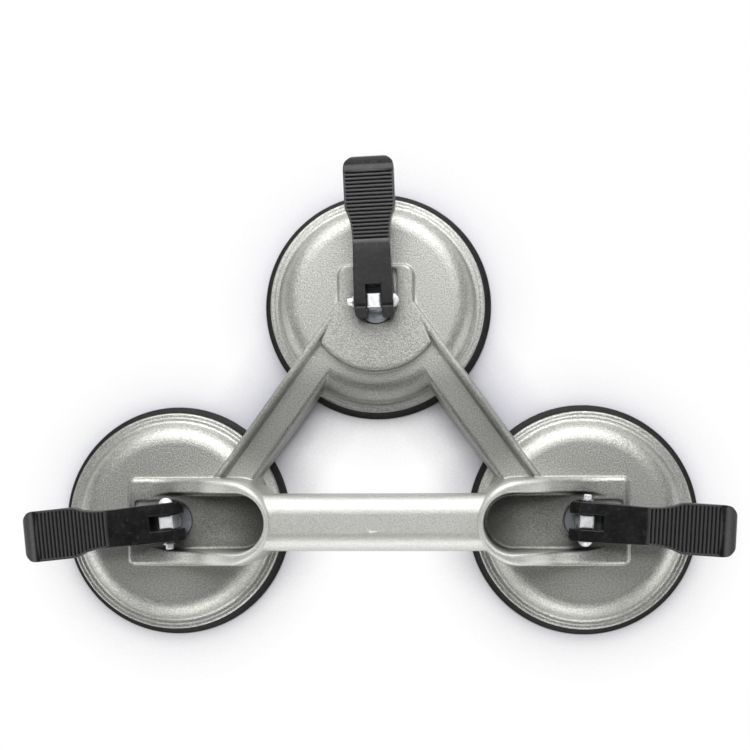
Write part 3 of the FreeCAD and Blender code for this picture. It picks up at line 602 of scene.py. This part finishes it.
def lever_form(settings):
    """Moulded lever lying along +X from its pivot, with forked cam ears, ribbed grip and cored underside."""
    # the first block at the fork's root, cut along the border of the ribbed field
    bpy.ops.object.select_all(action="DESELECT")
    (x0, width, top, low), (x1, *_) = SHANK[:2]
    bpy.ops.mesh.primitive_cube_add(size=1, location=((x0 + x1) / 2 * MM, 0, (top + low) / 2 * MM),
                                    scale=((x1 - x0) * MM, 2 * width * MM, (top - low) * MM))
    bpy.ops.object.transform_apply(location=True, rotation=True, scale=True)
    bpy.ops.object.mode_set(mode="EDIT")
    for side in (-1, 1):
        bpy.ops.mesh.select_all(action="SELECT")
        bpy.ops.mesh.bisect(plane_co=(0, side * BORDER * MM, 0), plane_no=(0, 1, 0))

    # the shank, the grip and the nose
    start, width = settings.rib_start / MM, settings.rib_pitch / MM / 2
    steps = [grip_section(start + index * width) for index in range(2 * settings.rib_count + 1)]
    pick_faces(lambda middle, normal: normal.x > 0.9)
    first = (SHANK[1][0], *SHANK[0][1:])
    drawn_on([first] + list(SHANK[2:]) + steps + list(NOSE))

    # the ears on both sides of the slot, with their end corners clipped
    for side in (-1, 1):
        pick_faces(lambda middle, normal: normal.x < -0.9)
        bpy.ops.mesh.bisect(plane_co=(0, side * settings.slot / 2, 0), plane_no=(0, 1, 0))
    pick_faces(lambda middle, normal: normal.x < -0.9 and abs(middle.y) > settings.slot / 2 / MM)
    drawn_on(EARS)
    for start, end, half in EAR_CORNERS:
        pick_points(lambda point: start < point.x < end and abs(point.y) > FORK - 0.3)
        bpy.ops.transform.resize(value=(1, half / FORK, 1), center_override=(0, 0, 0))

    # the gaps between the ribs, and the hollow underside
    gaps = [(near[0], far[0]) for near, far in zip(steps[::2], steps[1::2])]
    pick_faces(lambda middle, normal: normal.z > 0.9 and abs(middle.y) < FIELD
               and any(start < middle.x < end for start, end in gaps))
    bpy.ops.mesh.inset(thickness=0.1 * MM, depth=-settings.rib_depth, use_individual=True)
    for start, end in CORES:
        pick_faces(lambda middle, normal: normal.z < -0.5 and abs(middle.y) < FIELD
                   and start < middle.x < end)
        bpy.ops.mesh.inset(thickness=WALL * MM, use_individual=False)
        bpy.ops.mesh.extrude_region_move(TRANSFORM_OT_translate={"value": (0, 0, 2 * MM)})
        bpy.ops.transform.resize(value=(1, 1, 0), center_override=(0, 0, settings.core_top))

    bpy.ops.mesh.select_all(action="SELECT")
    bpy.ops.mesh.remove_doubles(threshold=0.01 * MM)
    bpy.ops.mesh.normals_make_consistent(inside=False)
    bpy.ops.object.mode_set(mode="OBJECT")
    lever = settled("lever_form")
    bevel = lever.modifiers.new("edges", "BEVEL")
    bevel.width, bevel.segments = settings.edge, 3
    bevel.limit_method, bevel.angle_limit = "ANGLE", radians(32)
    bevel.use_clamp_overlap = False
    lever.modifiers.new("normals", "WEIGHTED_NORMAL")
    for name in ("edges", "normals"):
        bpy.ops.object.modifier_apply(modifier=name)
    return lever


class TILELIFTER_OT_levers(bpy.types.Operator):
    """Make the moulded levers with their forks, cams and ribbed grips"""

    bl_idname = "tile_lifter.levers"
    bl_label = "Make the levers"

    def execute(self, context):
        settings = context.scene.tile_lifter_lever
        form = lever_form(settings)
        form.data.materials.append(moulded("black_nylon_lever", settings, grain=0.45 * MM, edge=0.3 * MM,
                                           gloss=0.05, ribbed=True))
        joints = {joint["name"]: joint for joint in FRAME["record"]["behaviour"]["joints"]}
        for cup in CUPS:
            hinge = joints[f"{cup}_lever_lift"]
            turn = atan2(hinge["axis"][0], -hinge["axis"][1])
            lever = placed(form, f"{cup}_lever_moulding",
                           Matrix.Translation(hinge["pos_m"]) @ Matrix.Rotation(turn, 4, "Z"))
            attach(lever, f"{cup}_lever_body")
            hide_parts(f"{cup}_lever")
        bpy.data.objects.remove(form)
        return {"FINISHED"}


class TILELIFTER_OT_hardware(bpy.types.Operator):
    """Finish the studs, plates, washers, pins and clips"""

    bl_idname = "tile_lifter.hardware"
    bl_label = "Finish the hardware"

    def execute(self, context):
        settings = context.scene.tile_lifter_hardware
        zinc = plated("bright_zinc", settings.zinc, settings.roughness, edge=0.3 * MM, metal=0.3)
        steel = plated("washer_steel", settings.steel, settings.roughness, edge=0.5 * MM, metal=0.75)
        for cup in CUPS:
            for part in ("pull_stud", "pivot_pin"):
                dress(f"{cup}_{part}", zinc)
            for part in ("insert_plate", "bearing_washer", "retaining_clip"):
                dress(f"{cup}_{part}", steel)
        return {"FINISHED"}


# Soft rectangular lights: name, place, width and height in metres, and the setting of their power
LIGHTS = (
    ("key_light", (0, 0.56, 0.41), 0.90, 0.62, "key"),
    ("top_light", (0, 0.27, 0.95), 0.80, 0.25, "top"),
    ("fill_light", (-0.01, -0.70, 0.28), 0.50, 0.40, "fill"),
    ("left_light", (-0.70, -0.32, 0.20), 0.55, 0.30, "side"),
    ("right_light", (0.70, -0.32, 0.20), 0.55, 0.30, "side"),
)
FLOOR_SIZE = 6.0                 # metres
CAMERA_PLACE = (0.0522274, HANDLE_Y + 0.0323060, 0.8536027)
CAMERA_TURN = (0.0501395, 0.0634755, -0.0039368)
CAMERA_LENS, CAMERA_SENSOR = 78.558, 36.0


def floor_finish(settings, middle):
    """Floor that looks white in the open, keeps the lifter's shadow and has a painted shadow round the middle
    of the triangle.
    """
    finish = Finish("studio_floor")
    seen = finish.seen_by("Camera", "Glossy", "Transmission")
    open_air = finish.step(finish.shelter(settings.shadow_reach), 0.42, 0.04)
    # painted shadow: the floor is darker round the middle of the triangle
    painted_shadow = finish.step(finish.distance(middle), 65 * MM, 40 * MM)
    shade = finish.blend(painted_shadow, rgba(settings.floor), rgba(settings.floor, 0.6))
    matt = finish.node("BsdfDiffuse", inputs={"Color": shade})
    white = finish.node("Emission", inputs={"Color": WHITE, "Strength": 1.0})
    shader = finish.node("MixShader", inputs={0: seen * open_air, 1: matt, 2: white})
    finish.node("OutputMaterial", inputs={"Surface": shader})
    return finish.material


class TILELIFTER_OT_studio(bpy.types.Operator):
    """Set up the floor, the lights and the camera"""

    bl_idname = "tile_lifter.studio"
    bl_label = "Set up the studio"

    def execute(self, context):
        settings = context.scene.tile_lifter_studio
        middle = Vector((0, HANDLE_Y + 40 * MM, 0))
        bpy.ops.object.select_all(action="DESELECT")
        bpy.ops.mesh.primitive_plane_add(size=FLOOR_SIZE, location=(0, 0, CAD_BOX[0].z))
        floor = context.object
        floor.name = "studio_floor"
        floor.data.materials.append(floor_finish(settings, middle))

        world = bpy.data.worlds.new("studio_room")
        context.scene.world = world
        world.use_nodes = True
        room = Nodes(world.node_tree)
        strength = room.seen_by("Camera", "Transmission") * (1.0 - settings.room) + settings.room
        light = room.node("Background", inputs={"Strength": strength, "Color": WHITE})
        room.node("OutputWorld", inputs={"Surface": light})

        for name, place, width, height, power_setting in LIGHTS:
            data = bpy.data.lights.new(name, "AREA")
            data.shape = "RECTANGLE"
            data.size, data.size_y = width, height
            data.energy = getattr(settings, power_setting)
            lamp = bpy.data.objects.new(name, data)
            lamp.location = place
            lamp.rotation_euler = (middle - Vector(place)).to_track_quat("-Z", "Y").to_euler()
            context.scene.collection.objects.link(lamp)

        data = bpy.data.cameras.new("studio_camera")
        data.sensor_width, data.lens = CAMERA_SENSOR, CAMERA_LENS
        camera = bpy.data.objects.new("studio_camera", data)
        camera.location = CAMERA_PLACE
        camera.rotation_euler = Euler(CAMERA_TURN, "XYZ")
        context.scene.collection.objects.link(camera)
        context.scene.camera = camera
        context.scene.view_settings.view_transform = "Standard"
        return {"FINISHED"}


class TILELIFTER_PT_panel(bpy.types.Panel):
    """The lifter's operators and settings"""

    bl_idname = "TILELIFTER_PT_panel"
    bl_label = "Tile Lifter"
    bl_space_type = "VIEW_3D"
    bl_region_type = "UI"
    bl_category = "Tile Lifter"

    def draw(self, context):
        for name, group, operator in STEPS:
            box = self.layout.box()
            for item in group.__annotations__:
                box.prop(getattr(context.scene, name), item)
            box.operator(operator.bl_idname)


# The steps in order: the scene's property, its settings and the operator
STEPS = (
    ("tile_lifter_casting", CastingSettings, TILELIFTER_OT_casting),
    ("tile_lifter_rubber", RubberSettings, TILELIFTER_OT_pads),
    ("tile_lifter_lever", LeverSettings, TILELIFTER_OT_levers),
    ("tile_lifter_hardware", HardwareSettings, TILELIFTER_OT_hardware),
    ("tile_lifter_studio", StudioSettings, TILELIFTER_OT_studio),
)


def register():
    for name, group, operator in STEPS:
        bpy.utils.register_class(group)
        setattr(bpy.types.Scene, name, PointerProperty(type=group))
        bpy.utils.register_class(operator)
    bpy.utils.register_class(TILELIFTER_PT_panel)


def unregister():
    bpy.utils.unregister_class(TILELIFTER_PT_panel)
    for name, group, operator in reversed(STEPS):
        bpy.utils.unregister_class(operator)
        delattr(bpy.types.Scene, name)
        bpy.utils.unregister_class(group)


def main():
    register()
    bpy.ops.tile_lifter.casting()
    bpy.ops.tile_lifter.pads()
    bpy.ops.tile_lifter.levers()
    bpy.ops.tile_lifter.hardware()
    bpy.ops.tile_lifter.studio()


if __name__ == "__main__":
    main()
